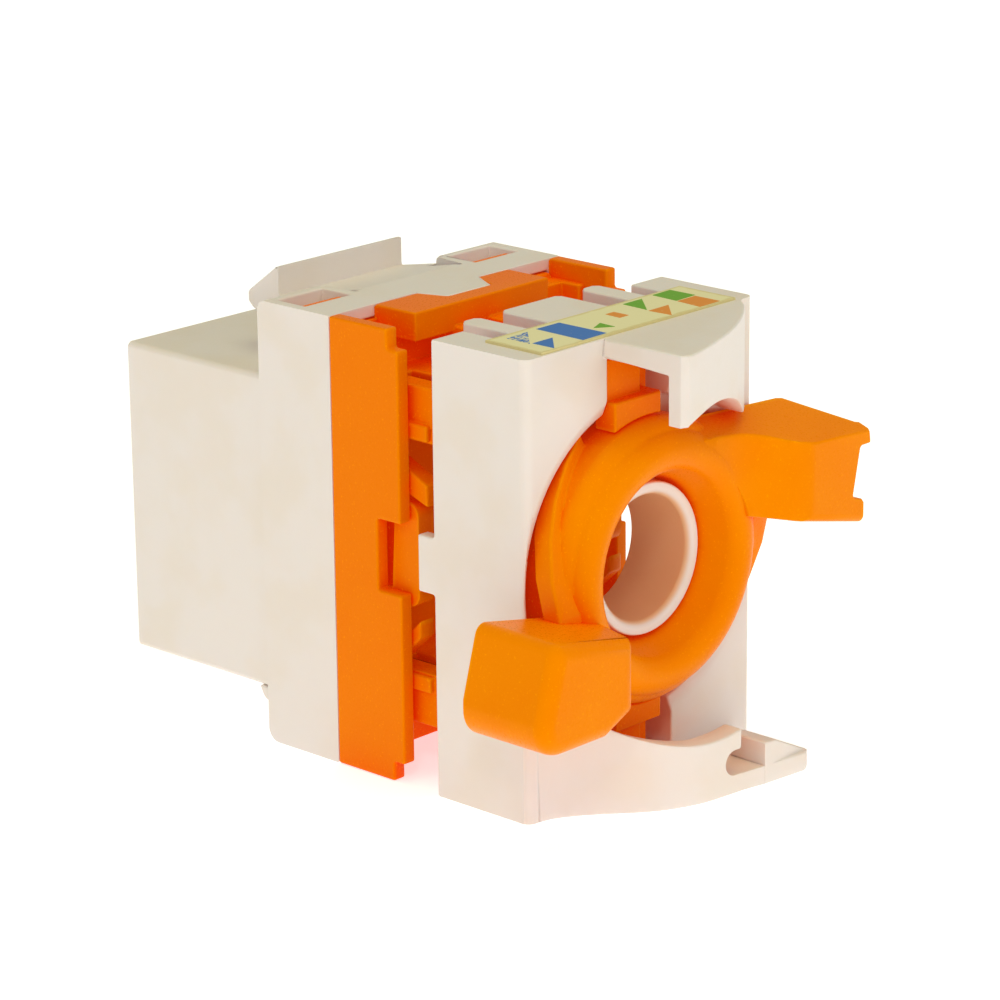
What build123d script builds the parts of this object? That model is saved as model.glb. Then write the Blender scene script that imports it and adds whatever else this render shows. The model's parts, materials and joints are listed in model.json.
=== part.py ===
from build123d import *
import math
import os

os.makedirs("parts", exist_ok=True)

# Socket module with a quarter-turn cable clamp, in millimetres.
# +Z is up, -Y is the plug side, +Y is the cable side.
# The origin lies on the centre line of the nose, on the shoulder that meets the panel.

# overall widths and heights
body_w = 16.3
body_h = 22.7
axis_z = 0.6
body_top = axis_z + body_h / 2
body_bot = axis_z - body_h / 2

# nose that enters the panel
nose_w = 15.8
nose_h = 16.2
nose_len = 9.85
nose_round = 0.3
socket_floor = 2.2
plug_w = 11.9
plug_h = 7.0
plug_z = 0.1
clip_w = 6.2
clip_h = 1.6
key_w = 3.4
key_h = 1.3
carrier_w = 9.8
carrier_top = 6.95
carrier_bite = 0.5

# shoulder block behind the panel
shoulder_d = 4.95
pocket_in = 4.4
pocket_out = 7.5
pocket_front = 0.75
pocket_len = 1.95
pocket_depth = 1.15
hook_bar_w = 2.7
hook_bar_t = 0.4
hook_bar_reach = 0.65
hook_bar_gap = 0.06
hook_tip_drop = 0.15
hatch_w = 6.9
lug_r = 0.78

# latch tongue above the nose
latch_w = 8.7
latch_front = -4.7
latch_catch = -2.45
latch_peak = 12.48
latch_under = 10.05
latch_root = 3.0
latch_skin = 0.95
latch_step = 11.0
latch_end_top = 10.92
slope_end = 2.3

# white tab that keys into the frame
key_tab_root = 4.2
key_tab_tip = 3.1
key_tab_len = 1.55
key_tab_thick = 1.0

# circuit board
board_w = 13.6
board_h = 13.8
board_t = 1.25

# plug contacts
contact_count = 8
contact_pitch = 1.02
contact_w = 0.45
contact_t = 0.35
contact_level = 5.6
contact_reach = -7.0
contact_tip_y = -0.6
contact_tip_z = 2.3

# frame with the punch-down blocks
plate_t = 0.75
plate_rear = 9.5
plate_corner = 0.7
plate_corner_drop = 1.0
root_t = 0.4
root_len = 2.4
wall_t = 1.25
crown_t = 0.95
wall_top = body_top - crown_t
wall_foot = 0.35
notch_depth = 1.55
notch_top = 2.45
notch_bot = -1.15
crown_left = 5.05
crown_right = -4.4
crown_rear = 7.7
tower_w = 14.0
tower_h = 2.7
tower_drop = 2.85
tower_high = body_h / 2 - tower_drop
tower_low = tower_high - tower_h
tower_rear = 10.9
rail_lip = 0.28
rail_lip_h = 0.8
rail_rear = 10.5
boss_t = 1.0
boss_gap = 0.1
boss_rear = 9.9
boss_top = 3.35
boss_bot = -1.9
boss_soft = 0.7
groove_from = 7.0
groove_to = 8.2
groove_depth = 0.55
post_left = 2.4
post_mid = -0.1
post_right = -1.2
post_in = 8.0
post_out = 10.2
post_rear = 17.5
post_step_rear = 16.9
post_corner = 0.9
post_foot = 0.7
foot_step = 0.6
foot_right = -0.9
foot_r = 7.15

# punch-down blades and the wire slots that take them
slot_out = 5.4
slot_in = 2.85
slot_out_w = 1.1
slot_in_w = 1.5
blade_t = 0.4
blade_h = 2.1
blade_rear = 11.35
blade_gap = 0.45
fork_from = shoulder_d + 3.2
tower_slit = 0.8
slit_from = shoulder_d + wall_t + 1.2

# wire cap
cap_front = 11.7
cap_rear = 17.73
cap_wall = 0.8
cap_hollow = 2.5
cap_roof = 2.45
cap_round = 0.5
slot_end = 14.0
tooth_front = 10.4
tooth_t = 1.05
tooth_bevel = 0.3
tab_tip = 10.65
tab_top = 2.25
tab_bot = -0.6
hub_r = 7.95
hub_floor = 16.2
dish_r = 8.65
dish_depth = 0.3
window_left = 2.5
window_right = -2.1
window_from = 15.4
passage_gap = 0.1
passage_in = 6.9
passage_out = 10.4
hood_rear = 22.75
hood_side = 2.8
hood_corner = 0.3
hood_wall = 1.0
hood_roof = 0.95
hood_low = 6.3
hood_root = 0.95
hood_inner_root = 3.4
hood_fall = (0.65, 1.65, 3.5)
hood_end = hood_rear + 2
hood_bore_r = 8.35
plate_low_t = 0.95
foot_side = -6.65
foot_rear = 22.8
wall_end = -2.0
wall_rear = 22.3
low_wall = 1.1
hook_from = -3.5
hook_high = 2.15
hook_low = 0.95
hook_front = 20.3
tie_gap = 1.3
tie_front = 20.5
tie_reach = 1.1

# cable sleeve inside the ring
sleeve_r = 3.77
sleeve_bore = 3.11
sleeve_end = 18.0
sleeve_lip = 0.28

# lever ring
ring_gap = 0.08
ring_floor = hub_floor + 0.05
ring_in = sleeve_r + ring_gap
ring_crest = 19.7
crest_r = ring_in + 1.5
funnel_foot = ring_crest - 2.4
funnel_r = ring_in + 0.65
funnel_top = ring_crest - 0.75
brow_r = ring_in + 2.62
brow_level = ring_crest - 0.67
ring_out = ring_in + 3.2
ring_edge = ring_crest - 1.6
ramp_r = 7.7
ramp_t = 1.1
ramp_high = 19.3
ramp_low = 17.0
ramp_root = -24.0
ramp_from = -8.0
ramp_to = 62.0
ramp_steps = 5
arm_clear = 0.15
arm_front = cap_rear + arm_clear
arm_root = 5.3
left_arm_rear = 23.0
left_arm_low = -5.1
left_arm_soft = 0.8
left_arm_lean = 1.35
left_tip_x = 12.8
right_arm_rear = 21.5
right_arm_foot = 1.85
right_arm_top = 6.5
right_arm_knee = -9.9
top_tilt_side = 0.06
top_tilt_rear = 0.387
neck_x = -2.0
neck_end = -8.4
neck_level = ring_crest - 0.12
right_arm_soft = 0.45
right_brow_soft = 0.6
right_tip_x = 11.67
tip_lip = 0.5
lip_t = 0.8

# printed label
label_w = 13.8
label_len = 3.55
label_from = 14.05
label_t = 0.12

half_w = body_w / 2
half_nose = nose_w / 2


def side(sign, near, far, y0, y1, z0, z1):
    """A block between two distances from the middle plane on one side."""
    with Locations((sign * (near + far) / 2, (y0 + y1) / 2, (z0 + z1) / 2)):
        Box(far - near, y1 - y0, z1 - z0)


def slab(x0, x1, y0, y1, z0, z1, how=Mode.ADD):
    """A block given by its six faces."""
    with Locations(((x0 + x1) / 2, (y0 + y1) / 2, (z0 + z1) / 2)):
        Box(x1 - x0, y1 - y0, z1 - z0, mode=how)


# Front housing: nose, shoulder block, pockets and latch tongue in one moulding.
with BuildPart() as front_housing:
    slab(-half_nose, half_nose, -nose_len, 0.4, -nose_h / 2, nose_h / 2)
    fillet(front_housing.edges().filter_by(Axis.Y), nose_round)
    slab(-half_w, half_w, 0, shoulder_d, body_bot, body_top)
    front_edges = front_housing.edges().filter_by(Axis.X)
    fillet(front_edges.group_by(Axis.Z)[-1].sort_by(Axis.Y)[0], 0.5)
    fillet(front_housing.edges().filter_by(Axis.X).group_by(Axis.Z)[0].sort_by(Axis.Y)[0], 0.7)
    # quarter-round lug under the nose that hooks behind the panel
    with BuildSketch(Plane.YZ.offset(-half_nose)):
        with BuildLine():
            Line((0, -nose_h / 2), (-lug_r, -nose_h / 2))
            CenterArc((0, -nose_h / 2), lug_r, 180, 90)
            Line((0, -nose_h / 2 - lug_r), (0, -nose_h / 2))
        make_face()
    extrude(amount=nose_w)
    # room under the latch tongue and the gap on each side of it
    under_latch = nose_h / 2 + 0.05
    slab(-latch_w / 2, latch_w / 2, -0.1, slope_end + 0.2, under_latch, body_top + 0.1, Mode.SUBTRACT)
    # latch tongue, ramp and catch seen from the side
    with BuildSketch(Plane.YZ.offset(-latch_w / 2)):
        with BuildLine():
            Polyline(
                (latch_front, latch_under + 0.35),
                (latch_front, latch_end_top),
                (latch_catch - 0.12, latch_peak),
                (latch_catch, latch_peak),
                (latch_catch, latch_step),
                (0.2, latch_step + 0.5),
                (0.2, latch_step + 0.5 - latch_skin),
                (latch_front + 0.4, latch_under),
                (latch_front, latch_under + 0.35),
            )
        make_face()
    extrude(amount=latch_w)
    with BuildSketch(Plane.YZ.offset(-hatch_w / 2)):
        with BuildLine():
            Polyline(
                (-0.3, latch_step + 0.4),
                (slope_end, body_top),
                (latch_root, body_top),
                (latch_root, body_top - latch_skin - 0.3),
                (-0.3, latch_step + 0.4 - latch_skin),
                (-0.3, latch_step + 0.4),
            )
        make_face()
    extrude(amount=hatch_w)
    # shoulder blocks left and right of the tongue keep their top
    for sign in (-1, 1):
        side(sign, hatch_w / 2 + 0.35, half_w - 0.5, 0.5, shoulder_d, nose_h / 2 - 0.2, body_top)
    # key tab at the back of the top face
    with BuildSketch(Plane.XY.offset(body_top - key_tab_thick)):
        with BuildLine():
            Polyline(
                (-key_tab_root / 2, shoulder_d - 0.5),
                (key_tab_root / 2, shoulder_d - 0.5),
                (key_tab_root / 2, shoulder_d),
                (key_tab_tip / 2, shoulder_d + key_tab_len),
                (-key_tab_tip / 2, shoulder_d + key_tab_len),
                (-key_tab_root / 2, shoulder_d),
                (-key_tab_root / 2, shoulder_d - 0.5),
            )
        make_face()
    extrude(amount=key_tab_thick)
    # pockets in the two shoulder blocks
    for sign in (-1, 1):
        x_near = min(sign * pocket_in, sign * pocket_out)
        x_far = max(sign * pocket_in, sign * pocket_out)
        y_far = pocket_front + pocket_len
        slab(x_near, x_far, pocket_front, y_far, body_top - pocket_depth, body_top + 1, Mode.SUBTRACT)
        # channel behind the pocket for the hook bar of the frame
        bar_z = body_top - pocket_depth
        slab(
            x_near + 0.2 - hook_bar_gap,
            x_near + 0.2 + hook_bar_w + hook_bar_gap,
            y_far - 0.1,
            shoulder_d + 0.1,
            bar_z,
            bar_z + hook_bar_t + 2 * hook_bar_gap,
            Mode.SUBTRACT,
        )
    # plug opening with the clip channel below it
    plug_low = plug_z - plug_h / 2
    plug_high = plug_z + plug_h / 2
    clip_low = plug_low - clip_h
    slab(-plug_w / 2, plug_w / 2, -nose_len - 1, socket_floor, plug_low, plug_high, Mode.SUBTRACT)
    slab(-clip_w / 2, clip_w / 2, -nose_len - 1, socket_floor, clip_low, plug_z, Mode.SUBTRACT)
    slab(-key_w / 2, key_w / 2, -nose_len - 1, socket_floor, clip_low - key_h, plug_z, Mode.SUBTRACT)
    # room for the contact carrier above the plug and for the board at the back
    carrier_seat = contact_reach - 1.4
    board_seat = shoulder_d - board_t
    seat_low = plug_high - carrier_bite
    slab(-carrier_w / 2, carrier_w / 2, carrier_seat, shoulder_d, seat_low, carrier_top, Mode.SUBTRACT)
    slab(-board_w / 2, board_w / 2, board_seat, shoulder_d + 1, -board_h / 2, board_h / 2, Mode.SUBTRACT)
front_housing.part.label = "front_housing"
export_step(front_housing.part, "parts/front_housing.step")

# Contact carrier: comb that holds the eight spring contacts above the plug.
carrier_low = contact_level - contact_t / 2 - 0.25
with BuildPart() as contact_carrier:
    slab(-carrier_w / 2, carrier_w / 2, contact_reach - 0.9, shoulder_d - board_t, carrier_low, carrier_top)
    for i in range(contact_count):
        x = (i - (contact_count - 1) / 2) * contact_pitch
        x_near = x - contact_w / 2
        groove_low = carrier_low - 1
        groove_top = contact_level + contact_t / 2
        x_far = x_near + contact_w
        slab(x_near, x_far, contact_reach - 1, shoulder_d, groove_low, groove_top, Mode.SUBTRACT)
contact_carrier.part.label = "contact_carrier"
export_step(contact_carrier.part, "parts/contact_carrier.step")

# Plug contacts: strips that leave the board, run forward and fold back down into the socket.
for i in range(contact_count):
    x = (i - (contact_count - 1) / 2) * contact_pitch
    with BuildPart() as plug_contact:
        with BuildSketch(Plane.YZ.offset(x - contact_w / 2)):
            with BuildLine():
                Polyline(
                    (shoulder_d - board_t, contact_level),
                    (contact_reach, contact_level),
                    (contact_reach - 0.45, contact_level - 0.45),
                    (contact_reach, contact_level - 0.8),
                    (contact_tip_y, contact_tip_z),
                    (contact_tip_y + 1.2, contact_tip_z + 0.1),
                )
            trace(line_width=contact_t)
        extrude(amount=contact_w)
        slab(x - 1, x + 1, board_seat, shoulder_d + 1, contact_level - 1, contact_level + 1, Mode.SUBTRACT)
    plug_contact.part.label = "plug_contact_%d" % (i + 1)
    export_step(plug_contact.part, "parts/plug_contact_%d.step" % (i + 1))

# Circuit board between the plug contacts and the blades.
with BuildPart() as circuit_board:
    slab(-board_w / 2, board_w / 2, shoulder_d - board_t, shoulder_d, -board_h / 2, board_h / 2)
circuit_board.part.label = "circuit_board"
export_step(circuit_board.part, "parts/circuit_board.step")

# Blade places: four above and four below the cable axis.
blade_x = (slot_out, slot_in, -slot_in, -slot_out)
tower_mid = (tower_low + tower_high) / 2

# Frame: side plates, crown, punch-down towers and the two hooked posts.
boss_out = half_w - plate_t - boss_gap
plate_in = half_w - plate_t
wall_low = body_bot + wall_foot
with BuildPart() as idc_frame:
    slab(-plate_in, plate_in, shoulder_d, shoulder_d + wall_t, wall_low, wall_top)
    for sign in (-1, 1):
        with BuildSketch(Plane.YZ.offset(sign * (half_w - plate_t / 2))):
            with BuildLine():
                Polyline(
                    (shoulder_d, body_bot),
                    (plate_rear - plate_corner, body_bot),
                    (plate_rear - plate_corner, body_bot + plate_corner_drop),
                    (plate_rear, body_bot + plate_corner_drop),
                    (plate_rear, body_top - plate_corner_drop),
                    (plate_rear - plate_corner, body_top - plate_corner_drop),
                    (plate_rear - plate_corner, body_top),
                    (shoulder_d, body_top),
                    (shoulder_d, body_bot),
                )
            make_face()
        extrude(amount=plate_t / 2, both=True)
        # thicker root of the plate
        side(sign, plate_in - root_t, plate_in, shoulder_d, shoulder_d + root_len, wall_low, wall_top)
        # boss behind the side notch, rounded, with a groove in front of it
        with BuildSketch(Plane.YZ.offset(sign * (boss_out - boss_t / 2))) as boss_outline:
            with Locations(((shoulder_d + boss_rear) / 2, (boss_top + boss_bot) / 2)):
                Rectangle(boss_rear - shoulder_d, boss_top - boss_bot)
            fillet(boss_outline.vertices().group_by(Axis.X)[-1], boss_soft)
        extrude(amount=boss_t / 2, both=True)
        side(sign, boss_out - 0.1, plate_in, shoulder_d, groove_from, boss_bot, boss_top)
        x_near = min(sign * (boss_out - groove_depth), sign * plate_in)
        x_far = max(sign * (boss_out - groove_depth), sign * plate_in)
        slab(x_near, x_far, groove_from, groove_to, notch_bot, notch_top, Mode.SUBTRACT)
    for sign in (-1, 1):
        # punch-down tower with a lip along its inner edge
        z_near = axis_z + sign * tower_low
        z_far = axis_z + sign * tower_high
        slab(-tower_w / 2, tower_w / 2, shoulder_d, tower_rear, min(z_near, z_far), max(z_near, z_far))
        z_near = axis_z + sign * (tower_low + 0.1)
        z_far = axis_z + sign * (tower_low + 0.1 + rail_lip_h)
        lip_x = tower_w / 2 + rail_lip
        slab(-lip_x, lip_x, shoulder_d, rail_rear, min(z_near, z_far), max(z_near, z_far))
        # post that reaches back through the cap, with its corner cut off
        z_near = axis_z + sign * post_in
        z_far = axis_z + sign * post_out
        with BuildSketch(Plane(origin=(0, post_rear, 0), x_dir=(1, 0, 0), z_dir=(0, -1, 0))):
            with BuildLine():
                Polyline(
                    (post_mid, z_near),
                    (post_left, z_near),
                    (post_left, z_far),
                    (post_mid + post_corner, z_far),
                    (post_mid, z_far - sign * post_corner),
                    (post_mid, z_near),
                )
            make_face()
        extrude(amount=post_rear - shoulder_d)
        slab(post_right, post_mid + 0.1, shoulder_d, post_step_rear, min(z_near, z_far), max(z_near, z_far))
        # foot of the post that reaches behind the ramp
        z_near = axis_z + sign * (foot_r - 0.9)
        z_far = axis_z + sign * (post_in + 0.2)
        foot_end = post_rear + foot_step
        slab(foot_right, post_left, post_rear - post_foot, foot_end, min(z_near, z_far), max(z_near, z_far))
    # crown on the top between the side plates, keyed around the white tab
    with BuildSketch(Plane.XY.offset(wall_top - 0.5)):
        with BuildLine():
            Polyline(
                (crown_right, shoulder_d),
                (crown_left, shoulder_d),
                (crown_left, crown_rear),
                (crown_right, crown_rear),
                (crown_right, shoulder_d),
            )
        make_face()
    extrude(amount=body_top - wall_top + 0.5)
    # sloping ribs from the upper tower to the bosses and from the lower tower up
    for sign in (-1, 1):
        x_rib = sign * (boss_out - boss_t / 2)
        with BuildSketch(Plane.YZ.offset(x_rib)):
            with BuildLine():
                Polyline(
                    (shoulder_d, boss_top + 2.5),
                    (shoulder_d + 3.6, boss_top + 1.95),
                    (rail_rear, boss_top + 1.05),
                    (rail_rear, boss_top - 0.05),
                    (shoulder_d + 3.6, boss_top + 0.65),
                    (shoulder_d, boss_top + 1.25),
                    (shoulder_d, boss_top + 2.5),
                )
            make_face()
            with BuildLine():
                Polyline(
                    (shoulder_d, boss_bot - 3.7),
                    (shoulder_d + 3.7, boss_bot - 2.7),
                    (boss_rear, boss_bot - 1.5),
                    (boss_rear, boss_bot - 0.6),
                    (shoulder_d + 3.7, boss_bot - 1.8),
                    (shoulder_d, boss_bot - 2.5),
                    (shoulder_d, boss_bot - 3.7),
                )
            make_face()
        extrude(amount=boss_t / 2, both=True)
    # clearance round the foot for the ring
    with Locations(Location((0, post_rear, axis_z), (90, 0, 0))):
        Cylinder(foot_r, 6 * post_foot, mode=Mode.SUBTRACT)
    # notch for the white key tab
    with BuildSketch(Plane.XY.offset(body_top - key_tab_thick)):
        with BuildLine():
            Polyline(
                (-key_tab_root / 2, shoulder_d - 0.5),
                (key_tab_root / 2, shoulder_d - 0.5),
                (key_tab_root / 2, shoulder_d),
                (key_tab_tip / 2, shoulder_d + key_tab_len),
                (-key_tab_tip / 2, shoulder_d + key_tab_len),
                (-key_tab_root / 2, shoulder_d),
                (-key_tab_root / 2, shoulder_d - 0.5),
            )
        make_face()
    extrude(amount=key_tab_thick + 1, mode=Mode.SUBTRACT)
    # hook bars that run forward into the pockets of the front housing
    for sign in (-1, 1):
        x_near = min(sign * pocket_in, sign * pocket_out) + 0.2
        bar_z = body_top - pocket_depth + hook_bar_gap
        bar_front = pocket_front + pocket_len - hook_bar_reach
        slab(x_near, x_near + hook_bar_w, bar_front, shoulder_d + 0.2, bar_z, bar_z + hook_bar_t)
        tip_rear = pocket_front + pocket_len - hook_bar_gap
        slab(x_near, x_near + hook_bar_w, bar_front, tip_rear, bar_z, body_top - hook_tip_drop)
    # notches in the rear edge of the side plates
    for sign in (-1, 1):
        x_near = min(sign * plate_in, sign * (half_w + 1))
        x_far = max(sign * plate_in, sign * (half_w + 1))
        slab(x_near, x_far, plate_rear - notch_depth, plate_rear + 1, notch_bot, notch_top, Mode.SUBTRACT)
    # slits for the wires and seats for the blades
    for sign in (-1, 1):
        for x in blade_x:
            z_near = axis_z + sign * (tower_low - 0.1)
            z_far = axis_z + sign * (tower_high + 0.1)
            low = min(z_near, z_far)
            high = max(z_near, z_far)
            slab(x - tower_slit / 2, x + tower_slit / 2, slit_from, tower_rear + 1, low, high, Mode.SUBTRACT)
            low = axis_z + sign * tower_mid - blade_h / 2
            x_near = x - blade_t / 2
            seat_end = slit_from + 0.1
            slab(x_near, x_near + blade_t, shoulder_d - 0.1, seat_end, low, low + blade_h, Mode.SUBTRACT)
idc_frame.part.label = "idc_frame"
export_step(idc_frame.part, "parts/idc_frame.step")

# Blades: forked metal strips standing on the board inside the towers.
blade_number = 0
for sign in (1, -1):
    for x in blade_x:
        blade_number = blade_number + 1
        z_mid = axis_z + sign * tower_mid
        with BuildPart() as idc_blade:
            blade_low = z_mid - blade_h / 2
            slab(x - blade_t / 2, x + blade_t / 2, shoulder_d, blade_rear, blade_low, blade_low + blade_h)
            fork = idc_blade.edges().filter_by(Axis.X).group_by(Axis.Y)[-1]
            chamfer(fork, 0.4)
            fork_low = z_mid - blade_gap / 2
            slab(x - 1, x + 1, fork_from, blade_rear + 1, fork_low, fork_low + blade_gap, Mode.SUBTRACT)
        idc_blade.part.label = "idc_blade_%d" % blade_number
        export_step(idc_blade.part, "parts/idc_blade_%d.step" % blade_number)

# Wire cap: hollow block with wire slots, ring recess, hoods, foot plate and cable sleeve.
with BuildPart() as wire_cap:
    slab(-half_w, half_w, cap_front, cap_rear, body_bot, body_top)
    fillet(wire_cap.edges().filter_by(Axis.Z).group_by(Axis.Y)[-1], cap_round)
    # upper hood seen from above
    with BuildSketch(Plane.XY.offset(axis_z + hood_low)):
        with BuildLine():
            Line((hood_side, cap_rear - 2), (hood_side, hood_rear - hood_corner))
            Line((hood_side, hood_rear - hood_corner), (hood_side - hood_corner, hood_rear))
            Spline(
                (hood_side - hood_corner, hood_rear),
                (hood_side - 2.75, hood_rear - hood_fall[0]),
                (hood_side - 5.3, hood_rear - hood_fall[1]),
                (hood_side - 8.4, hood_rear - hood_fall[2]),
                (-half_w + hood_root, cap_rear - 0.1),
                tangents=((-1, -0.12), (-0.6, -1)),
            )
            Line((-half_w + hood_root, cap_rear - 0.1), (-half_w + hood_root, cap_rear - 2))
            Line((-half_w + hood_root, cap_rear - 2), (hood_side, cap_rear - 2))
        make_face()
    extrude(amount=body_h / 2 - hood_low)
    # lower hood with its swept outline
    with BuildSketch(Plane.XY.offset(body_bot)):
        with BuildLine():
            Spline(
                (half_w, cap_rear - 0.35),
                (6.5, 18.15),
                (4.85, 19.3),
                (2.66, 21.1),
                (0.7, 21.95),
                (wall_end, wall_rear),
                tangents=((-0.9, 0.45), (-1, 0.1)),
            )
            Line((wall_end, wall_rear), (wall_end, cap_rear - 2))
            Line((wall_end, cap_rear - 2), (half_w, cap_rear - 2))
            Line((half_w, cap_rear - 2), (half_w, cap_rear - 0.35))
        make_face()
    extrude(amount=body_h / 2 - hood_low)
    # foot plate that carries on to the right with the tie hook
    with BuildSketch(Plane.XY.offset(body_bot)):
        with BuildLine():
            Polyline(
                (wall_end + 1, cap_rear - 2),
                (wall_end + 1, wall_rear - 0.1),
                (wall_end, wall_rear),
                (foot_side + 0.4, foot_rear),
                (foot_side, foot_rear - 0.25),
                (foot_side, cap_rear - 2),
                (wall_end + 1, cap_rear - 2),
            )
        make_face()
    extrude(amount=plate_low_t)
    # wedge-shaped hook for the cable tie
    hook_end = foot_rear - 0.3
    with BuildSketch(Plane(origin=(0, hook_end, 0), x_dir=(1, 0, 0), z_dir=(0, -1, 0))):
        with BuildLine():
            Polyline(
                (foot_side, body_bot),
                (hook_from, body_bot),
                (hook_from, body_bot + hook_high),
                (hook_from - 0.9, body_bot + hook_high - 0.1),
                (foot_side, body_bot + hook_low),
                (foot_side, body_bot),
            )
        make_face()
    extrude(amount=hook_end - hook_front)
    # hollow under each hood
    with BuildSketch(Plane.XY.offset(axis_z + hood_low - 0.1)):
        with BuildLine():
            Line((hood_side + 1, cap_rear), (hood_side + 1, hood_rear - hood_wall))
            Line((hood_side + 1, hood_rear - hood_wall), (hood_side - hood_corner, hood_rear - hood_wall))
            Spline(
                (hood_side - hood_corner, hood_rear - hood_wall),
                (hood_side - 2.75, hood_rear - hood_fall[0] - hood_wall),
                (hood_side - 5.3, hood_rear - hood_fall[1] - hood_wall),
                (-half_w + hood_inner_root, cap_rear),
                tangents=((-1, -0.12), (-1, -0.9)),
            )
            Line((-half_w + hood_inner_root, cap_rear), (hood_side + 1, cap_rear))
        make_face()
    extrude(amount=body_h / 2 - hood_low - hood_roof + 0.1, mode=Mode.SUBTRACT)
    with BuildSketch(Plane.XY.offset(body_bot + plate_low_t)):
        with BuildLine():
            Polyline(
                (wall_end - 1, cap_rear),
                (wall_end - 1, wall_rear - low_wall),
                (wall_end, wall_rear - low_wall),
                (0.6, wall_rear - low_wall - 0.35),
                (2.2, wall_rear - low_wall - 1.2),
                (4.2, wall_rear - low_wall - 2.9),
                (5.2, cap_rear),
                (wall_end - 1, cap_rear),
            )
        make_face()
    extrude(amount=6, mode=Mode.SUBTRACT)
    # undercut of the tie slot at the end of the lower wall
    tie_low = body_bot + plate_low_t
    tie_round = tie_gap / 2
    round_x = wall_end + tie_reach - tie_round
    slab(hook_from, round_x, tie_front, foot_rear + 1, tie_low, tie_low + tie_gap, Mode.SUBTRACT)
    with Locations(Location((round_x, (tie_front + foot_rear + 1) / 2, tie_low + tie_round), (90, 0, 0))):
        Cylinder(tie_round, foot_rear + 1 - tie_front, mode=Mode.SUBTRACT)
    # round clearance for the ring, its recess and the shallow dish round it
    with Locations(Location((0, (hub_floor + hood_end) / 2, axis_z), (90, 0, 0))):
        Cylinder(hub_r, hood_end - hub_floor, mode=Mode.SUBTRACT)
    with Locations(Location((0, (cap_rear + hood_end) / 2, axis_z), (90, 0, 0))):
        Cylinder(hood_bore_r, hood_end - cap_rear, mode=Mode.SUBTRACT)
    with Locations(Location((0, cap_rear - dish_depth / 2, axis_z), (90, 0, 0))):
        Cone(dish_r, hub_r, dish_depth, mode=Mode.SUBTRACT)
    # hollow front for the towers
    hollow_x = half_w - cap_wall
    hollow_rear = cap_front + cap_hollow
    hollow_low = body_bot + cap_roof
    hollow_high = body_top - cap_roof
    slab(-hollow_x, hollow_x, cap_front - 1, hollow_rear, hollow_low, hollow_high, Mode.SUBTRACT)
    # passages and rear windows for the posts
    for sign in (-1, 1):
        low = axis_z + min(sign * passage_in, sign * passage_out)
        high = axis_z + max(sign * passage_in, sign * passage_out)
        slab(post_right - passage_gap, window_left, cap_front - 1, cap_rear + 0.01, low, high, Mode.SUBTRACT)
        slab(window_right, window_left, window_from, cap_rear + 0.01, low, high, Mode.SUBTRACT)
    # teeth that stand forward between the wire slots
    for sign in (-1, 1):
        z_near = axis_z + sign * (body_h / 2 - tooth_t)
        z_far = axis_z + sign * body_h / 2
        tooth_in = slot_in + slot_in_w / 2
        tooth_out = slot_out - slot_out_w / 2
        slab(-tooth_out, tooth_out, tooth_front, cap_front + 0.2, min(z_near, z_far), max(z_near, z_far))
    # eight wire slots
    for sign in (-1, 1):
        low = axis_z + min(sign * (body_h / 2 - cap_roof - 0.1), sign * (body_h / 2 + 0.1))
        high = low + cap_roof + 0.2
        for x in blade_x:
            w = slot_out_w if abs(x) == slot_out else slot_in_w
            slab(x - w / 2, x + w / 2, tooth_front - 1, slot_end, low, high, Mode.SUBTRACT)
    tooth_corners = wire_cap.edges().filter_by(Axis.Z).group_by(Axis.Y)[0]
    chamfer(tooth_corners, tooth_bevel)
    # tabs that enter the side notches of the frame
    for sign in (-1, 1):
        x_near = min(sign * (half_w - plate_t + 0.05), sign * half_w)
        x_far = max(sign * (half_w - plate_t + 0.05), sign * half_w)
        slab(x_near, x_far, tab_tip, cap_front + 0.2, tab_bot, tab_top)
    # cable sleeve and its bore
    with Locations(Location((0, (hollow_rear + sleeve_end) / 2, axis_z), (90, 0, 0))):
        Cylinder(sleeve_r, sleeve_end - hollow_rear)
    with Locations(Location((0, (cap_front + sleeve_end) / 2, axis_z), (90, 0, 0))):
        Cylinder(sleeve_bore, sleeve_end - cap_front + 2, mode=Mode.SUBTRACT)
    with Locations(Location((0, sleeve_end - sleeve_lip / 2, axis_z), (90, 0, 0))):
        Cone(sleeve_bore + sleeve_lip, sleeve_bore, sleeve_lip, mode=Mode.SUBTRACT)
wire_cap.part.label = "wire_cap"
export_step(wire_cap.part, "parts/wire_cap.step")

# Left finger arm: slanted block that stands back from the ring.
left_rear_plane = Plane(origin=(0, left_arm_rear, 0), x_dir=(1, 0, 0), z_dir=(0, -1, 0))
with BuildPart() as left_arm:
    with BuildSketch(left_rear_plane) as left_outline:
        with BuildLine():
            Polyline(
                (arm_root, -0.95),
                (left_tip_x - 1.1, 0.35),
                (left_tip_x - 0.05, -3.3),
                (left_tip_x, left_arm_low),
                (arm_root + 3.0, left_arm_low),
                (arm_root, left_arm_low + 1.4),
                (arm_root, -0.95),
            )
        make_face()
        fillet(left_outline.vertices().group_by(Axis.X)[-1], 1.5)
        fillet(left_outline.vertices().group_by(Axis.Y)[-1], 0.6)
    extrude(amount=left_arm_rear - arm_front)
    # inner side leans outwards from the crest of the ring
    with BuildSketch(Plane.XY.offset(left_arm_low - 1)):
        with BuildLine():
            Polyline(
                (arm_root - 1, ring_crest),
                (arm_root, ring_crest),
                (arm_root + left_arm_lean, left_arm_rear),
                (arm_root + left_arm_lean, left_arm_rear + 1),
                (arm_root - 1, left_arm_rear + 1),
                (arm_root - 1, ring_crest),
            )
        make_face()
    extrude(amount=2 - left_arm_low, mode=Mode.SUBTRACT)
    fillet(left_arm.faces().sort_by(Axis.Y)[-1].edges(), left_arm_soft)

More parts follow.
